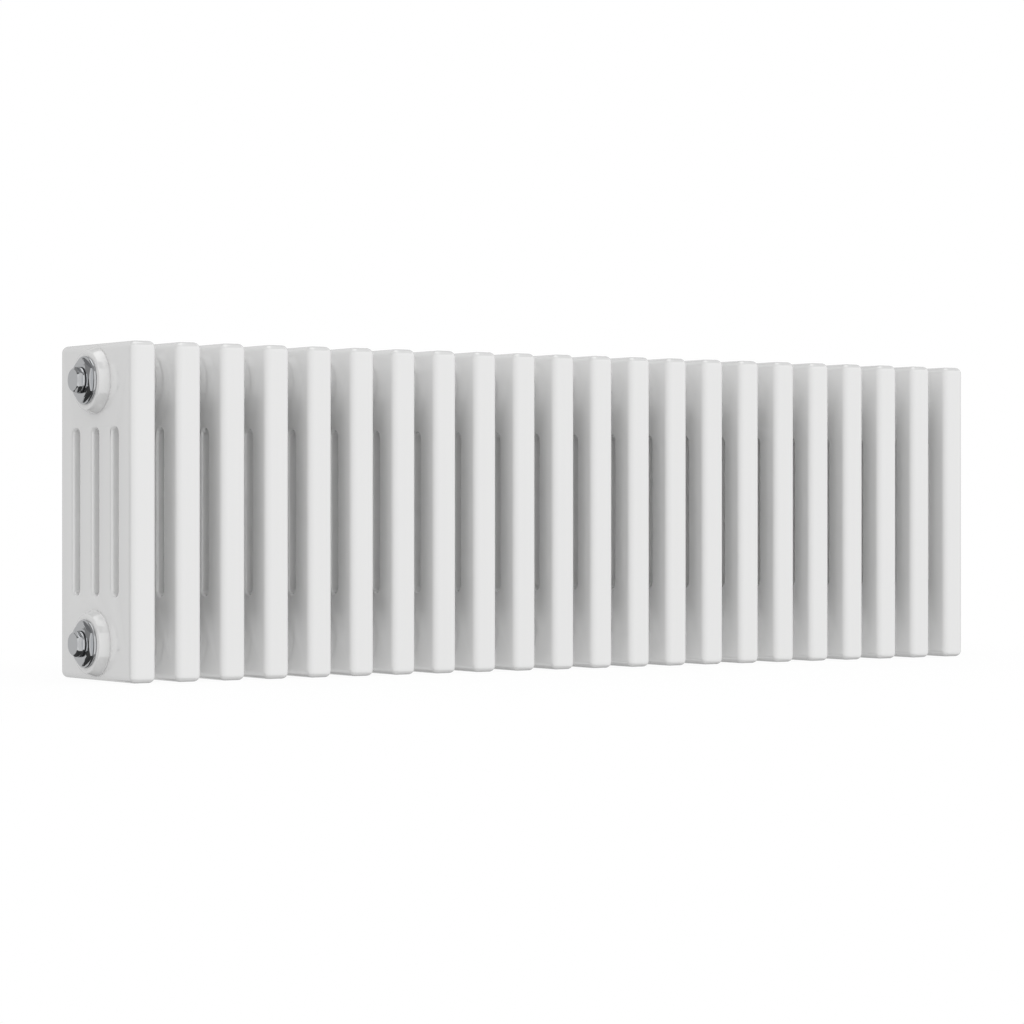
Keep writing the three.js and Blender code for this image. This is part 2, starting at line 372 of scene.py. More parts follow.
@dataclass(frozen=True)
class Fibre(Finish):
    """Dark jointing fibre: matt, with short flecks."""

    name: str = "jointing_fibre"
    slot: str = "gasket"
    dark: Colour = (0.03, 0.031, 0.034)
    pale: Colour = (0.1, 0.1, 0.105)
    flecks_per_metre: float = 1400.0
    fleck_stretch: Triple = (1.0, 0.35, 1.0)
    least_roughness: float = 0.68
    fleck_roughness: float = 0.2
    fleck_depth: float = 0.00003

    def sockets(self, recipe: Recipe) -> dict[str, Any]:
        """Returns the values and links of the surface shader's sockets."""
        flecks = recipe.noise(self.flecks_per_metre, detail=3.0, scale=self.fleck_stretch)
        return {
            "Base Color": recipe.blend(flecks, self.dark, self.pale),
            "Roughness": self.least_roughness + flecks * self.fleck_roughness,
            "Normal": recipe.bump(flecks, self.fleck_depth),
        }


@dataclass(frozen=True)
class TurnedMetal(Finish):
    """Bare metal off the lathe: fine rings along its axis and a little tarnish."""

    name: str
    slot: str
    clean: Colour
    tarnished: Colour
    roughness: float
    rings_per_metre: float = 900.0
    ring_stretch: Triple = (1.0, 0.02, 0.02)
    ring_roughness: float = 0.15
    ring_depth: float = 0.00002
    tarnish_per_metre: float = 70.0

    def sockets(self, recipe: Recipe) -> dict[str, Any]:
        """Returns the values and links of the surface shader's sockets."""
        rings = recipe.noise(self.rings_per_metre, scale=self.ring_stretch)
        tarnish = recipe.noise(self.tarnish_per_metre, detail=5.0)
        return {
            "Base Color": recipe.blend(tarnish, self.tarnished, self.clean),
            "Metallic": 1.0,
            "Roughness": self.roughness + rings * self.ring_roughness,
            "Normal": recipe.bump(rings, self.ring_depth),
        }


@dataclass(frozen=True)
class RawCasting(Finish):
    """The inside of a casting: rough sand-cast iron, dark and matt."""

    name: str = "raw_casting"
    slot: str = "white_enamel"
    iron: Colour = (0.05, 0.048, 0.046)
    rusty: Colour = (0.13, 0.075, 0.05)
    rust_per_metre: float = 45.0
    rust_contrast: float = 2.0
    grain_per_metre: float = 900.0
    grain_depth: float = 0.0002
    least_roughness: float = 0.75
    grain_roughness: float = 0.2

    def sockets(self, recipe: Recipe) -> dict[str, Any]:
        """Returns the values and links of the surface shader's sockets."""
        grain = recipe.noise(self.grain_per_metre, detail=6.0)
        rust = recipe.noise(self.rust_per_metre, detail=4.0) ** self.rust_contrast
        return {
            "Base Color": recipe.blend(rust, self.iron, self.rusty),
            "Roughness": self.least_roughness + grain * self.grain_roughness,
            "Normal": recipe.bump(grain, self.grain_depth),
        }


ENAMEL = Enamel()
CHROME = Chrome()
FIBRE = Fibre()
RAW_CASTING = RawCasting()
NIPPLE_IRON = TurnedMetal("turned_iron", "nipple_iron", (0.36, 0.35, 0.34), (0.2, 0.17, 0.15), 0.4)
BRASS = TurnedMetal("turned_brass", "vent_brass", (0.74, 0.57, 0.28), (0.55, 0.4, 0.2), 0.22)


# ---- modelling by hand ----------------------------------------------------------------------


def deselect_all() -> None:
    """Leaves no object selected or active."""
    for item in bpy.context.view_layer.objects:
        item.select_set(False)
    bpy.context.view_layer.objects.active = None


def take(piece: bpy.types.Object) -> None:
    """Makes one object the only selected one, and the active one."""
    deselect_all()
    piece.select_set(True)
    bpy.context.view_layer.objects.active = piece


def settle(piece: bpy.types.Object) -> bpy.types.Object:
    """Moves a piece's place, turn and size into its mesh and returns the piece."""
    take(piece)
    bpy.ops.object.transform_apply(location=True, rotation=True, scale=True)
    return piece


def block(name: str, low: Sequence[float], high: Sequence[float]) -> bpy.types.Object:
    """Adds a rectangular block.

    Args:
        name: the block's name.
        low: its lowest corner.
        high: its highest corner.

    Returns:
        The block, settled.
    """
    deselect_all()
    size = Vector(high) - Vector(low)
    middle = (Vector(high) + Vector(low)) / 2
    bpy.ops.mesh.primitive_cube_add(size=1.0, location=middle)
    piece = bpy.context.active_object
    piece.name = name
    piece.scale = size
    return settle(piece)


def rod(name: str, sides: int, radius: float, start: float, end: float,
        turn: float = 0.0) -> bpy.types.Object:
    """Adds a rod about the X axis.

    Args:
        name: the rod's name.
        sides: how many sides it has.
        radius: the radius of its corners.
        start: where it begins along X.
        end: where it ends along X.
        turn: how far it is turned about X, in radians.

    Returns:
        The rod, settled.
    """
    deselect_all()
    bpy.ops.mesh.primitive_cylinder_add(
        vertices=sides, radius=radius, depth=end - start, location=((start + end) / 2, 0, 0),
        rotation=(0, math.pi / 2, 0))
    piece = bpy.context.active_object
    piece.name = name
    settle(piece)
    piece.rotation_euler.x = turn
    return settle(piece)


def edit(piece: bpy.types.Object, mode: str) -> None:
    """Opens a piece in edit mode with nothing selected.

    Args:
        piece: the piece.
        mode: VERT, EDGE or FACE.
    """
    take(piece)
    bpy.ops.object.mode_set(mode="EDIT")
    bpy.ops.mesh.select_mode(type=mode)
    bpy.ops.mesh.select_all(action="DESELECT")
    bpy.ops.object.mode_set(mode="OBJECT")


def pick_faces(piece: bpy.types.Object, wanted: Callable[[Vector, Vector], bool]) -> None:
    """Opens a piece in edit mode with some faces selected.

    Args:
        piece: the piece.
        wanted: says yes to a face from its middle and its normal.
    """
    edit(piece, "FACE")
    for face in piece.data.polygons:
        face.select = wanted(face.center, face.normal)
    bpy.ops.object.mode_set(mode="EDIT")


def pick_edges(piece: bpy.types.Object, wanted: Callable[[Vector, Vector], bool],
               sharper_than: float = 0.0) -> None:
    """Opens a piece in edit mode with some edges selected.

    Args:
        piece: the piece.
        wanted: says yes to an edge from its two ends.
        sharper_than: the least angle between an edge's faces, in degrees.
    """
    edit(piece, "EDGE")
    mesh = piece.data
    normals: dict[tuple[int, int], list[Vector]] = {}
    for face in mesh.polygons:
        for key in face.edge_keys:
            normals.setdefault(key, []).append(face.normal)
    for edge in mesh.edges:
        sides = normals.get(tuple(sorted(edge.vertices)), [])
        angle = math.degrees(sides[0].angle(sides[1])) if len(sides) == 2 else 0.0
        ends = [mesh.vertices[i].co for i in edge.vertices]
        edge.select = angle >= sharper_than and wanted(*ends)
    bpy.ops.object.mode_set(mode="EDIT")


def leave() -> None:
    """Goes back from edit mode."""
    bpy.ops.object.mode_set(mode="OBJECT")


def soften(piece: bpy.types.Object, wanted: Callable[[Vector, Vector], bool], radius: float,
           segments: int, sharper_than: float = 20.0) -> None:
    """Rounds some of a piece's edges.

    Args:
        piece: the piece.
        wanted: says yes to an edge from its two ends.
        radius: how far the rounding reaches.
        segments: how many facets it has.
        sharper_than: the least angle between an edge's faces, in degrees.
    """
    pick_edges(piece, wanted, sharper_than)
    bpy.ops.mesh.bevel(offset=radius, segments=segments, profile=0.5, affect="EDGES",
                       clamp_overlap=True)
    leave()


def combine(piece: bpy.types.Object, tool: bpy.types.Object, how: Shape) -> bpy.types.Object:
    """Joins, cuts or trims a piece with a tool, and uses the tool up.

    Args:
        piece: the piece that changes.
        tool: the solid that acts on it.
        how: what the tool does.

    Returns:
        The piece.
    """
    take(piece)
    modifier = piece.modifiers.new(how.name, "BOOLEAN")
    modifier.operation = how.value
    modifier.solver = "EXACT"
    modifier.material_mode = "TRANSFER"
    modifier.object = tool
    bpy.ops.object.modifier_apply(modifier=modifier.name)
    bpy.data.objects.remove(tool)
    return piece


def turn_on_lathe(name: str, sides: int, profile: Profile) -> bpy.types.Object:
    """Turns a solid about the X axis: a short cone, then its end face drawn out step by step.

    Args:
        name: the solid's name.
        sides: how many sides it has.
        profile: places along X with their radii, from one end to the other.

    Returns:
        The solid, settled.
    """
    (start, first), (second, radius), *rest = profile
    deselect_all()
    bpy.ops.mesh.primitive_cone_add(
        vertices=sides, radius1=first, radius2=radius, depth=second - start,
        location=((start + second) / 2, 0, 0), rotation=(0, math.pi / 2, 0))
    piece = bpy.context.active_object
    piece.name = name
    settle(piece)
    pick_faces(piece, lambda middle, normal: normal.x > FACING_X and middle.x > second - TOUCH)
    place = second
    for x, wider in rest:
        bpy.ops.mesh.extrude_region_move(TRANSFORM_OT_translate={"value": (x - place, 0, 0)})
        ratio = wider / radius
        bpy.ops.transform.resize(value=(1.0, ratio, ratio), center_override=(x, 0, 0))
        place, radius = x, wider
    leave()
    return piece


def thread(start: float, end: float, crest: float, root: float,
           pitch: float) -> list[Pair]:
    """Works out the profile of a thread's ridges.

    Args:
        start: where the thread begins along X.
        end: where it must stop by.
        crest: the radius on the ridges.
        root: the radius in the grooves.
        pitch: from one ridge to the next.

    Returns:
        Places along X with their radii.
    """
    turns = int((end - start) / pitch)
    points = []
    for i in range(turns):
        ridge = start + i * pitch
        points += [(ridge, root), (ridge + pitch * RIDGE_RISE, crest),
                   (ridge + pitch * RIDGE_FALL, crest)]
    return points


def smooth(piece: bpy.types.Object, angle: float = 32.0) -> None:
    """Shades a piece smoothly, except across edges sharper than an angle in degrees."""
    take(piece)
    bpy.ops.object.shade_smooth_by_angle(angle=math.radians(angle))


def copy_to(pattern: bpy.types.Object, name: str, place: Sequence[float],
            turn: float = 0.0) -> bpy.types.Object:
    """Copies a pattern piece, with a mesh of its own.

    Args:
        pattern: the piece to copy.
        name: the copy's name.
        place: where the pattern's working origin goes.
        turn: how far the copy is turned about Z, in radians.

    Returns:
        The copy, settled.
    """
    take(pattern)
    bpy.ops.object.duplicate(linked=False)
    piece = bpy.context.active_object
    piece.name = name
    piece.rotation_euler = (0.0, 0.0, turn)
    piece.location = place
    return settle(piece)


def dress(piece: bpy.types.Object, finish: Finish, body: str = BODY, *nodes: str) -> None:
    """Gives a finished piece its finish, its body and the nodes it stands for.

    Args:
        piece: the piece.
        finish: its finish.
        body: the body that it moves with.
        nodes: the CAD nodes that it replaces.
    """
    if not piece.data.materials:
        piece.data.materials.append(finish.material())
    else:
        piece.data.materials[0] = finish.material()
    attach(piece, body)
    if nodes:
        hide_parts(*nodes)
    LOG.info("%s: %d faces, %s", piece.name, len(piece.data.polygons), finish.name)


# ---- sub-assemblies -------------------------------------------------------------------------


@dataclass
class Hub:
    """The boss and bore that join one section to the next."""

    base_radius: float = 0.0298
    rim_radius: float = 0.0262
    length: float = 0.0094
    land_start: float = 0.0007
    land_end: float = 0.002
    land_groove: float = 0.0004
    rim_round: float = 0.0011
    rim_facets: int = 4
    bore_radius: float = 0.0166
    sides: int = 72

    def solid(self, face: float) -> bpy.types.Object:
        """Models both bosses as one solid through the slab.

        Args:
            face: how far the slab's faces are from the middle.

        Returns:
            The solid, about the X axis.
        """
        rim = face + self.length
        foot = self.base_radius - self.land_groove
        half = [(face + self.land_start, foot), (face + self.land_start + TOUCH, self.base_radius),
                (face + self.land_end, self.base_radius), (rim, self.rim_radius)]
        mirrored = [(-x, radius) for x, radius in reversed(half)]
        piece = turn_on_lathe("hub", self.sides, [*mirrored, *half])
        soften(piece, lambda a, b: abs(abs(a.x) - rim) < TOUCH and abs(a.x - b.x) < TOUCH,
               self.rim_round, self.rim_facets)
        return piece

    def bore(self, face: float) -> bpy.types.Object:
        """Returns the drill that opens the bore through both bosses."""
        reach = face + self.length + OVERRUN
        return rod("hub_bore", self.sides, self.bore_radius, -reach, reach)


@dataclass
class Sections:
    """The row of hollow sections."""

    thickness: float = 0.025
    edge_round: float = 0.006
    edge_facets: int = 8
    slot_width: float = 0.012
    slot_length: float = 0.1486
    slot_spacing: float = 0.0374
    slot_sides: int = 32
    lip_round: float = 0.0026
    lip_facets: int = 4
    lip_sharpness: float = 60.0
    wall: float = 0.004
    hub: Hub = field(default_factory=Hub)

    def __post_init__(self) -> None:
        """Reads the places of the sections and of the hub lines from the frame."""
        self.names = sorted(name for name in frame["nodes"] if name.startswith("section_"))
        self.middles = [(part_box(name)[0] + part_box(name)[1]) / 2 for name in self.names]
        low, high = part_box(self.names[0])
        self.depth = high.y - low.y
        self.height = high.z - low.z
        self.hub_offsets = [hub_height(level) - self.height / 2 for level in Level]

    @property
    def slot_places(self) -> tuple[float, ...]:
        """Where the slots stand across the depth."""
        return (-self.slot_spacing, 0.0, self.slot_spacing)

    def slab(self) -> bpy.types.Object:
        """Models the slab with its round edges and corners."""
        corner = Vector((self.thickness, self.depth, self.height)) / 2
        piece = block("section_pattern", -corner, corner)
        soften(piece, lambda a, b: True, self.edge_round, self.edge_facets)
        return piece

    def slot(self, y: float) -> bpy.types.Object:
        """Models the tool that cuts one slot: a rod whose two halves are drawn apart.

        Args:
            y: where the slot stands across the depth.

        Returns:
            The tool.
        """
        face = self.thickness / 2 + OVERRUN
        tool = rod("slot_tool", self.slot_sides, self.slot_width / 2, -face, face,
                   math.pi / self.slot_sides)
        reach = (self.slot_length - self.slot_width) / 2
        for way in (1, -1):
            edit(tool, "VERT")
            for vertex in tool.data.vertices:
                vertex.select = vertex.co.z * way > 0 and abs(vertex.co.z) < reach
            bpy.ops.object.mode_set(mode="EDIT")
            bpy.ops.transform.translate(value=(0, 0, way * reach))
            leave()
        tool.location.y = y
        return settle(tool)

    def waterway(self) -> bpy.types.Object:
        """Models the hollow inside: two headers joined by the four columns."""
        inset = Vector((self.wall, self.wall, self.wall))
        corner = Vector((self.thickness, self.depth, self.height)) / 2 - inset
        core = block("waterway", -corner, corner)
        core.data.materials.append(RAW_CASTING.material())
        for y in self.slot_places:
            half = Vector((self.thickness / 2, self.slot_width / 2 + self.wall,
                           self.slot_length / 2 + self.wall))
            island = block("island", Vector((0, y, 0)) - half, Vector((0, y, 0)) + half)
            island.data.materials.append(RAW_CASTING.material())
            combine(core, island, Shape.CUT)
        return core

    def pattern(self) -> bpy.types.Object:
        """Models one whole section about the middle of its slab."""
        face = self.thickness / 2
        piece = self.slab()
        piece.data.materials.append(ENAMEL.material())
        for y in self.slot_places:
            combine(piece, self.slot(y), Shape.CUT)
        inside = self.slot_spacing + self.slot_width
        soften(piece, lambda a, b: (abs(abs(a.x) - face) < TOUCH and abs(a.x - b.x) < TOUCH
                                    and abs(a.y) < inside),
               self.lip_round, self.lip_facets, self.lip_sharpness)
        for z in self.hub_offsets:
            solid = self.hub.solid(face)
            solid.location.z = z
            combine(piece, settle(solid), Shape.JOIN)
        combine(piece, self.waterway(), Shape.CUT)
        for z in self.hub_offsets:
            drill = self.hub.bore(face)
            drill.data.materials.append(RAW_CASTING.material())
            drill.location.z = z
            combine(piece, settle(drill), Shape.CUT)
        smooth(piece)
        return piece

    def build(self) -> None:
        """Models the section once and copies it to every place in the row."""
        pattern = self.pattern()
        for name, middle in zip(self.names, self.middles):
            piece = copy_to(pattern, f"{name}_casting", middle)
            dress(piece, ENAMEL, BODY, name)
        bpy.data.objects.remove(pattern)


@dataclass
class Nipples:
    """The hollow threaded nipples that hold the sections together, each with its gasket."""

    length: float = 0.026
    crest_radius: float = 0.0163
    root_radius: float = 0.0155
    bore_radius: float = 0.0126
    thread_pitch: float = 0.0023
    thread_run_out: float = 0.001
    land: float = 0.002
    lug_height: float = 0.0018
    lug_width: float = 0.004
    lug_share: float = 0.7
    gasket_radius: float = 0.0256
    gasket_thickness: float = 0.0011
    gasket_slack: float = 0.0008
    gasket_round_share: float = 0.3
    gasket_facets: int = 2
    gasket_sides: int = 64
    sides: int = 40

    def nipple(self) -> bpy.types.Object:
        """Models one nipple: a threaded tube with two lugs inside for the key."""
        half = self.length / 2
        ridges = thread(self.land / 2, half - self.thread_run_out, self.crest_radius,
                        self.root_radius, self.thread_pitch)
        mirrored = [(-x, radius) for x, radius in reversed(ridges)]
        profile = [(-half, self.root_radius), *mirrored, *ridges, (half, self.root_radius)]
        piece = turn_on_lathe("nipple_pattern", self.sides, profile)
        bore = rod("nipple_bore", self.sides, self.bore_radius, -self.length, self.length)
        for side in (1, -1):
            top = side * (self.bore_radius - self.lug_height)
            edge = side * (self.bore_radius + self.lug_height)
            low, high = min(top, edge), max(top, edge)
            lug = block("lug", (-half * self.lug_share, -self.lug_width / 2, low),
                        (half * self.lug_share, self.lug_width / 2, high))
            combine(bore, lug, Shape.CUT)
        combine(piece, bore, Shape.CUT)
        smooth(piece)
        return piece

    def gasket(self) -> bpy.types.Object:
        """Models one ring gasket, its outer edge a little round."""
        half = self.gasket_thickness / 2
        piece = rod("joint_gasket_pattern", self.gasket_sides, self.gasket_radius, -half, half)
        soften(piece, lambda a, b: abs(a.x - b.x) < TOUCH,
               self.gasket_thickness * self.gasket_round_share, self.gasket_facets)
        hole = rod("gasket_hole", self.gasket_sides, self.crest_radius + self.gasket_slack,
                   -self.length, self.length)
        combine(piece, hole, Shape.CUT)
        smooth(piece)
        return piece

    def build(self, middles: Sequence[Vector]) -> None:
        """Puts a nipple and a gasket between every two sections, on both hub lines.

        Args:
            middles: the middles of the sections, in order.
        """
        nipple, gasket = self.nipple(), self.gasket()
        for level in Level:
            for number, (left, right) in enumerate(zip(middles, middles[1:]), start=1):
                place = Vector(((left.x + right.x) / 2, 0, hub_height(level)))
                tag = f"{level.value}_{number:02d}"
                dress(copy_to(nipple, f"nipple_{tag}", place), NIPPLE_IRON, BODY,
                      f"{level.value}_nipple_run")
                dress(copy_to(gasket, f"joint_gasket_{tag}", place), FIBRE)
        bpy.data.objects.remove(nipple)
        bpy.data.objects.remove(gasket)


def hub_height(level: Level) -> float:
    """Returns the height of a hub line, from the bush at its left end."""
    low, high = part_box(f"{level.value}_left_bush")
    return (low.z + high.z) / 2


@dataclass
class Hexagon:
    """A spanner hexagon whose corners are turned off at its outer face."""

    across_flats: float
    start: float
    end: float
    face_share: float = 0.97
    slope: float = 0.55
    corner_spare: float = 0.0003
    cone_overrun: float = 0.001
    cone_sides: int = 96

    def solid(self) -> bpy.types.Object:
        """Models the hexagon with two flats facing the room and the wall."""
        corner = self.across_flats / math.sqrt(3)
        face = self.across_flats / 2 * self.face_share
        wide = corner + self.corner_spare
        chamfer = (wide - face) * self.slope
        piece = rod("hexagon", 6, corner, self.start, self.end, math.pi / 6)
        cone = turn_on_lathe("hexagon_cone", self.cone_sides, [
            (self.start - self.cone_overrun, wide), (self.end - chamfer, wide),
            (self.end, face)])
        combine(piece, cone, Shape.KEEP)
        return piece


@dataclass
class EndFittings:
    """Bushes, plugs, gaskets and the air vent, drawn outward from the end section's face."""

    gasket_start: float = 0.0094
    gasket_thickness: float = 0.0005
    gasket_radius: float = 0.0211
    gasket_bore: float = 0.0192
    flange_start: float = 0.0099
    flange_thickness: float = 0.0021
    flange_radius: float = 0.0216
    flange_bevel: float = 0.0012
    flange_round: float = 0.0003
    bush_hexagon: float = 0.0348
    bush_face: float = 0.0151
    bush_shank: float = 0.012
    hub_crest: float = 0.0163
    hub_root: float = 0.0153
    port_crest: float = 0.0106
    port_root: float = 0.0098
    port_run_out: float = 0.0015
    port_mouth_depth: float = 0.0009
    port_mouth_flare: float = 0.0019
    tap_overrun: float = 0.003
    seal_start: float = 0.0153
    seal_thickness: float = 0.0006
    seal_radius: float = 0.0114
    collar_start: float = 0.0161
    collar_thickness: float = 0.0018
    collar_radius: float = 0.012
    collar_round: float = 0.0005
    plug_hexagon: float = 0.02
    plug_hexagon_slope: float = 1.0
    plug_face: float = 0.0222
    plug_shank: float = 0.012
    plug_ridge: float = 0.0002
    plug_groove: float = 0.0006
    hexagon_sink: float = 0.0005
    seal_slack: float = 0.0001
    thread_pitch: float = 0.0018
    thread_run_out: float = 0.001
    round_facets: int = 3
    ring_round_share: float = 0.25
    ring_facets: int = 2
    ring_hole_reach: float = 0.01
    sides: int = 96

    def ring(self, name: str, outer: float, inner: float, start: float,
             thickness: float) -> bpy.types.Object:
        """Models a flat ring with slightly round outer edges.

        Args:
            name: the ring's name.
            outer: its outer radius.
            inner: its inner radius.
            start: where it begins along X.
            thickness: how thick it is.

        Returns:
            The ring.
        """
        piece = rod(name, self.sides, outer, start, start + thickness)
        soften(piece, lambda a, b: abs(a.x - b.x) < TOUCH, thickness * self.ring_round_share,
               self.ring_facets)
        hole = rod("ring_hole", self.sides, inner, start - self.ring_hole_reach,
                   start + self.ring_hole_reach)
        combine(piece, hole, Shape.CUT)
        smooth(piece)
        return piece

    def bush(self) -> bpy.types.Object:
        """Models a reducing bush: threaded shank, flange, hexagon and threaded port."""
        shank_end = self.flange_start - self.bush_shank
        hexagon_start = self.flange_start + self.flange_thickness
        ridges = thread(shank_end + self.thread_run_out, self.flange_start - self.thread_run_out,
                        self.hub_crest, self.hub_root, self.thread_pitch)
        piece = turn_on_lathe("bush_pattern", self.sides, [
            (shank_end, self.hub_root), *ridges, (self.flange_start, self.hub_root),
            (self.flange_start + TOUCH, self.flange_radius),
            (hexagon_start - self.flange_bevel / 2, self.flange_radius),
            (hexagon_start, self.flange_radius - self.flange_bevel)])
        soften(piece, lambda a, b: a.x > self.flange_start + TOUCH * 2 and abs(a.x - b.x) < TOUCH,
               self.flange_round, self.round_facets)
        hexagon = Hexagon(self.bush_hexagon, hexagon_start - self.hexagon_sink, self.bush_face)
        combine(piece, hexagon.solid(), Shape.JOIN)
        ridges = thread(shank_end - self.thread_run_out, self.bush_face - self.port_run_out,
                        self.port_root, self.port_crest, self.thread_pitch)
        tap = turn_on_lathe("port_tap", self.sides, [
            (shank_end - self.tap_overrun, self.port_crest), *ridges,
            (self.bush_face - self.port_mouth_depth, self.port_crest),
            (self.bush_face + self.thread_run_out, self.port_crest + self.port_mouth_flare)])
        combine(piece, tap, Shape.CUT)
        smooth(piece)
        return piece

    def plug(self) -> bpy.types.Object:
        """Models a plug: threaded shank, thin round collar and small hexagon."""
        shank_end = self.collar_start - self.plug_shank
        hexagon_start = self.collar_start + self.collar_thickness
        root = self.port_root - self.plug_groove
        ridges = thread(shank_end + self.thread_run_out, self.collar_start - self.thread_run_out,
                        self.port_root + self.plug_ridge, root, self.thread_pitch)
        piece = turn_on_lathe("plug_pattern", self.sides, [
            (shank_end, root), *ridges, (self.collar_start, root),
            (self.collar_start + TOUCH, self.collar_radius), (hexagon_start, self.collar_radius)])
        soften(piece, lambda a, b: a.x > hexagon_start - TOUCH and abs(a.x - b.x) < TOUCH,
               self.collar_round, self.round_facets)
        hexagon = Hexagon(self.plug_hexagon, hexagon_start - self.hexagon_sink, self.plug_face,
                          slope=self.plug_hexagon_slope)
        combine(piece, hexagon.solid(), Shape.JOIN)
        smooth(piece)
        return piece

    def place(self, pattern: bpy.types.Object, node: str, end: End, level: Level, finish: Finish,
              body: str = BODY) -> None:
        """Copies a fitting to one end of one hub line, in place of its CAD node.

        Args:
            pattern: the fitting, drawn pointing along +X from the working origin.
            node: the CAD node that the copy replaces.
            end: the end it goes to.
            level: the hub line it goes to.
            finish: its finish.
            body: the body that it moves with.
        """
        reach = abs(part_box("upper_left_bush")[0].x) - self.bush_face
        turn = 0.0 if end is End.RIGHT else math.pi
        spot = (end.value * reach, 0.0, hub_height(level))
        dress(copy_to(pattern, f"{node}_fitting", spot, turn), finish, body, node)

    def build(self) -> None:
        """Models each fitting once and copies it to its ends."""
        gasket = self.ring("bush_gasket_pattern", self.gasket_radius, self.gasket_bore,
                           self.gasket_start, self.gasket_thickness)
        seal = self.ring("plug_seal_pattern", self.seal_radius,
                         self.port_crest + self.seal_slack, self.seal_start, self.seal_thickness)
        bush, plug = self.bush(), self.plug()
        for level in Level:
            for end in End:
                stem = f"{level.value}_{end.word}"
                self.place(gasket, f"{stem}_bush_gasket", end, level, FIBRE)
                self.place(bush, f"{stem}_bush", end, level, CHROME)
            stem = f"{level.value}_{End.LEFT.word}"
            self.place(seal, f"{stem}_plug_seal", End.LEFT, level, FIBRE)
            self.place(plug, f"{stem}_plug", End.LEFT, level, CHROME)
        self.place(seal, "vent_plug_seal", End.RIGHT, Level.UPPER, FIBRE)
        vent = AirVent(self)
        vent_plug = vent.drill_plug(plug)
        spindle = vent.spindle()
        self.place(vent_plug, "vent_plug", End.RIGHT, Level.UPPER, CHROME)
        self.place(spindle, "vent_spindle", End.RIGHT, Level.UPPER, BRASS, "vent_spindle")
        for pattern in (gasket, seal, bush, plug, vent_plug, spindle):
            bpy.data.objects.remove(pattern)


@dataclass
class AirVent:
    """The air vent: a recess in its plug for the key, and the spindle that the key turns."""

    fittings: EndFittings
    recess_radius: float = 0.0052
    recess_depth: float = 0.0046
    recess_sides: int = 64
    mouth_depth: float = 0.0005
    mouth_overrun: float = 0.001
    mouth_flare: float = 0.0015
    stem_bore: float = 0.0031
    stem_depth: float = 0.008
    stem_sides: int = 48
    seat_depth: float = 0.0015
    seat_radius: float = 0.001
    point_radius: float = 0.0009
    point_length: float = 0.0015
    outlet_radius: float = 0.001
    outlet_depth: float = 0.0024
    outlet_length: float = 0.01
    outlet_drop: float = 0.0075
    outlet_sides: int = 24
    square: float = 0.005
    square_length: float = 0.0039
    square_sink: float = 0.0005
    square_round: float = 0.00025
    square_facets: int = 2
    slot_width: float = 0.0012
    slot_depth: float = 0.0012
    slot_reach: float = 0.01
    clearance: float = 0.0003

    @property
    def recess_floor(self) -> float:
        """How far out the recess's floor lies."""
        return self.fittings.plug_face - self.recess_depth

    def drill_plug(self, plug: bpy.types.Object) -> bpy.types.Object:
        """Copies the plain plug and drills the recess, the stem's bore and the outlet.

        Args:
            plug: the plain plug.

        Returns:
            The vent's plug.
        """
        piece = copy_to(plug, "vent_plug_pattern", (0, 0, 0))
        face = self.fittings.plug_face
        recess = turn_on_lathe("recess", self.recess_sides, [
            (self.recess_floor, self.recess_radius),
            (face - self.mouth_depth, self.recess_radius),
            (face + self.mouth_overrun, self.recess_radius + self.mouth_flare)])
        combine(piece, recess, Shape.CUT)
        seat = self.recess_floor - self.stem_depth
        bore = turn_on_lathe("stem_bore", self.stem_sides, [
            (seat - self.seat_depth, self.seat_radius), (seat, self.stem_bore),
            (face, self.stem_bore)])
        combine(piece, bore, Shape.CUT)
        deselect_all()
        bpy.ops.mesh.primitive_cylinder_add(
            vertices=self.outlet_sides, radius=self.outlet_radius, depth=self.outlet_length,
            location=(face - self.outlet_depth, 0, -self.outlet_drop))
        combine(piece, settle(bpy.context.active_object), Shape.CUT)
        smooth(piece)
        return piece

    def spindle(self) -> bpy.types.Object:
        """Models the spindle: pointed stem, square end and a slot across it."""
        start = self.recess_floor - self.stem_depth + self.clearance
        square_start = self.recess_floor + self.clearance
        square_end = square_start + self.square_length
        radius = self.stem_bore - self.clearance
        piece = turn_on_lathe("spindle_pattern", self.stem_sides, [
            (start, self.point_radius), (start + self.point_length, radius),
            (square_start + self.square_sink, radius)])
        head = rod("spindle_square", 4, self.square / math.sqrt(2), square_start, square_end,
                   math.pi / 4)
        soften(head, lambda a, b: True, self.square_round, self.square_facets)
        combine(piece, head, Shape.JOIN)
        half = self.slot_width / 2
        slot = block("spindle_slot", (square_end - self.slot_depth, -half, -self.slot_reach),
                     (square_end + self.slot_reach, half, self.slot_reach))
        combine(piece, slot, Shape.CUT)
        smooth(piece)
        return piece


# ---- studio ---------------------------------------------------------------------------------


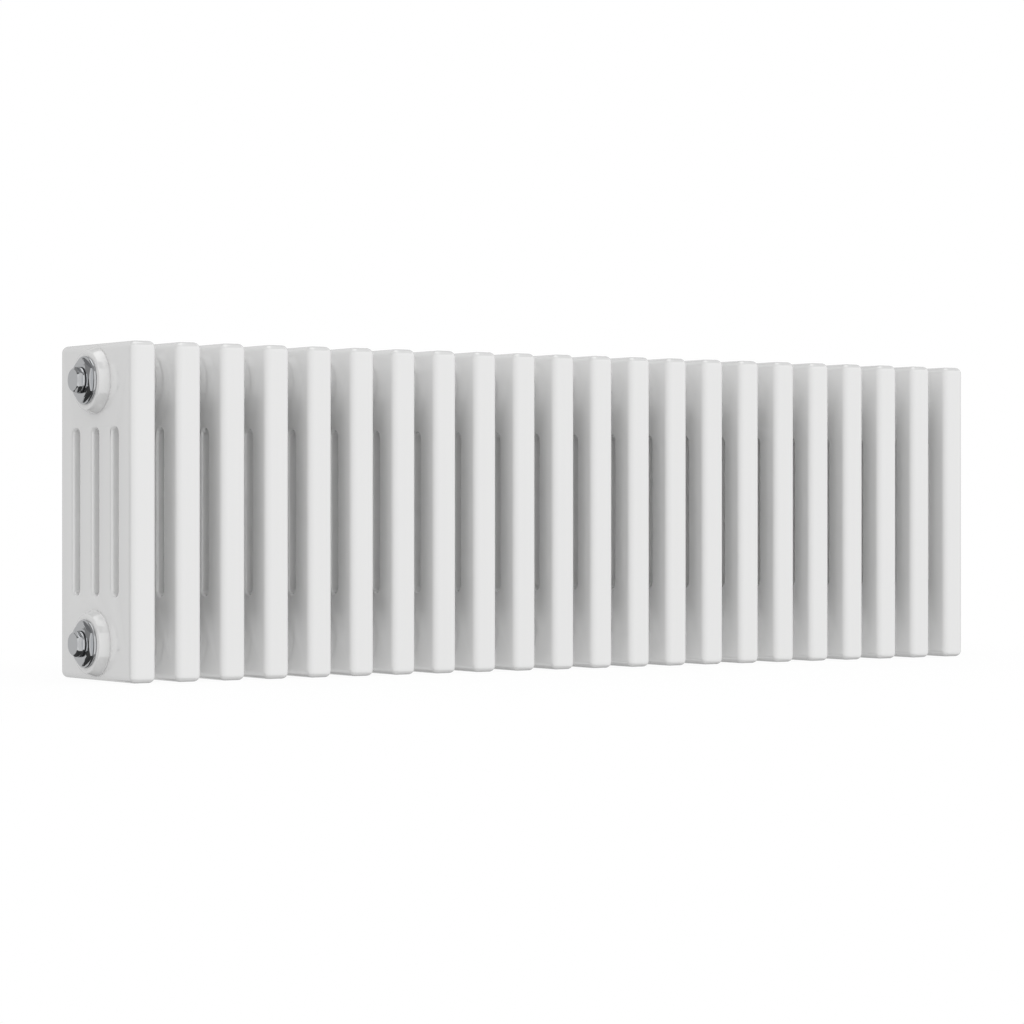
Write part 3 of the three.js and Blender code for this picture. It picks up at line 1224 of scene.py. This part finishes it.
@dataclass
class Studio:
    """Pale floor, white surroundings, a soft key light and a level camera at the front left.

    A pair that is called an edge gives where a soft change starts and where it is complete.
    """

    azimuth: float = 34.32
    station: Pair = (-1.804, -2.590)
    focal_length: float = 113.9
    sensor_width: float = 36.0
    sight: float = 60.0
    floor_half_width: float = 6.0
    floor_drop: float = 0.0005
    floor_grey: float = 0.8
    floor_roughness: float = 0.9
    floor_glow: float = 0.3
    shadow_stretch: Triple = (0.9, 1.6, 1.0)
    shadow_edge: Pair = (0.0, 0.5)
    shadow_share: float = 0.12
    key_place: Triple = (-0.6, -2.4, 3.2)
    key_aim: Triple = (0.0, 0.0, 0.15)
    key_size: float = 1.6
    key_power: float = 4.0
    side_light: float = 0.9
    room_light: float = 0.05
    sky_light: float = 0.2
    key_light: float = 0.48
    key_focus: float = 5.0
    key_way: Triple = (0.2, -0.97, 0.1)
    wall_reach: float = 0.5
    wall_gain: float = 0.2
    wall_height: float = 0.62
    wall_glow: float = 1.0
    back_glow: float = 0.7
    strip_shade: float = 1.0
    high_glow: float = 0.25
    dark_glow: float = 0.07
    panel_blur: float = 0.03
    room_edge: Pair = (-0.1, 0.25)
    strip_edge: Pair = (0.59, 0.64)
    strip_side_edge: Pair = (-0.12, -0.06)
    high_edge: Pair = (0.0, 0.1)
    ceiling_edge: Pair = (0.87, 0.91)
    ceiling_glow: float = 1.1

    def camera(self) -> None:
        """Stands the camera level with the middle of the radiator."""
        low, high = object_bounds()
        data = bpy.data.cameras.new("camera")
        data.lens = self.focal_length
        data.sensor_width = self.sensor_width
        data.clip_end = self.sight
        camera = bpy.data.objects.new("camera", data)
        camera.location = (*self.station, (low.z + high.z) / 2)
        camera.rotation_euler = (math.pi / 2, 0.0, -math.radians(self.azimuth))
        bpy.context.scene.collection.objects.link(camera)
        bpy.context.scene.camera = camera

    def key(self) -> None:
        """Hangs the key light, a square softbox above the room that looks at the radiator."""
        data = bpy.data.lights.new("key", "AREA")
        data.shape = "RECTANGLE"
        data.size = data.size_y = self.key_size
        data.energy = self.key_power
        light = bpy.data.objects.new("key", data)
        light.location = self.key_place
        light.rotation_mode = "QUATERNION"
        aim = Vector(self.key_aim) - Vector(self.key_place)
        light.rotation_quaternion = aim.to_track_quat("-Z", "Y")
        bpy.context.scene.collection.objects.link(light)

    def surroundings(self) -> None:
        """Paints the world: plain white to look at, soft light, and panels for gloss to mirror."""
        world = bpy.data.worlds.new("studio")
        bpy.context.scene.world = world
        world.use_nodes = True
        recipe = Recipe(world.node_tree)
        way = recipe.node("ShaderNodeTexCoord").out("Generated")
        axes = recipe.node("ShaderNodeSeparateXYZ", {}, {"Vector": way})
        to_room, up = 0 - axes.out("Y"), axes.out("Z")
        toward_key = sum((axes.out(name) * share for name, share in zip("XYZ", self.key_way)), 0.0)
        key = toward_key.rises(0.0, 1.0) ** self.key_focus * self.key_light
        soft = self.side_light + to_room * self.room_light + up * self.sky_light + key
        in_room = to_room.rises(*self.room_edge)
        reach = in_room * self.wall_gain + self.wall_reach
        walls = 1 - (0 - up - reach).rises(-self.panel_blur, self.panel_blur)
        walls = walls * (1 - (up - self.wall_height).rises(-self.panel_blur, self.panel_blur))
        wall_glow = self.back_glow + in_room * (self.wall_glow - self.back_glow)
        to_left = 0 - axes.out("X")
        left_behind = to_left.rises(*self.strip_edge) * (1 - to_room.rises(*self.strip_side_edge))
        walls = walls * (1 - left_behind * self.strip_shade)
        above = up.rises(*self.high_edge) * (1 - in_room) * self.high_glow
        ceiling = up.rises(*self.ceiling_edge)
        unlit = above + self.dark_glow
        mirrored = unlit + walls * (wall_glow - unlit) + ceiling * self.ceiling_glow
        path = recipe.node("ShaderNodeLightPath")
        glow = soft + path.out("Is Glossy Ray") * (mirrored - soft)
        lighting = recipe.node("ShaderNodeBackground", {}, {"Strength": glow}).out(0)
        plain = recipe.node("ShaderNodeBackground", {}, {"Color": WHITE}).out(0)
        mixed = recipe.node("ShaderNodeMixShader", {}, {
            0: path.out("Is Camera Ray"), 1: lighting, 2: plain}).out(0)
        recipe.node("ShaderNodeOutputWorld", {}, {"Surface": mixed})

    def floor(self) -> None:
        """Lays a pale floor that takes a soft shadow and fades into the white surroundings."""
        deselect_all()
        bpy.ops.mesh.primitive_plane_add(size=2 * self.floor_half_width,
                                         location=(0, 0, -self.floor_drop))
        floor = bpy.context.active_object
        floor.name = "floor"
        material = bpy.data.materials.new("pale_floor")
        material.use_nodes = True
        recipe = Recipe(material.node_tree)
        lit = recipe.node("ShaderNodeBsdfPrincipled", {}, {
            "Base Color": (*[self.floor_grey] * 3, 1.0), "Roughness": self.floor_roughness,
            "Emission Color": WHITE, "Emission Strength": self.floor_glow}).out(0)
        white = recipe.node("ShaderNodeEmission", {}, {"Color": WHITE}).out(0)
        ball = recipe.node("ShaderNodeTexGradient", {"gradient_type": "SPHERICAL"}, {
            "Vector": recipe.place(self.shadow_stretch)}).out("Fac")
        shadow = ball.rises(*self.shadow_edge) * self.shadow_share
        mixed = recipe.node("ShaderNodeMixShader", {}, {0: shadow, 1: white, 2: lit}).out(0)
        recipe.node("ShaderNodeOutputMaterial", {}, {"Surface": mixed})
        floor.data.materials.append(material)
        floor.visible_glossy = False
        floor.visible_diffuse = False
        floor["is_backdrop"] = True

    def build(self) -> None:
        """Sets up the whole studio."""
        bpy.context.scene.view_settings.view_transform = "Standard"
        self.camera()
        self.surroundings()
        self.floor()
        self.key()


def main() -> None:
    """Builds the radiator and its studio."""
    logging.basicConfig(level=logging.INFO, format="%(name)s: %(message)s")
    Studio().build()
    sections = Sections()
    sections.build()
    Nipples().build(sections.middles)
    EndFittings().build()
    deselect_all()


if __name__ == "__main__":
    main()
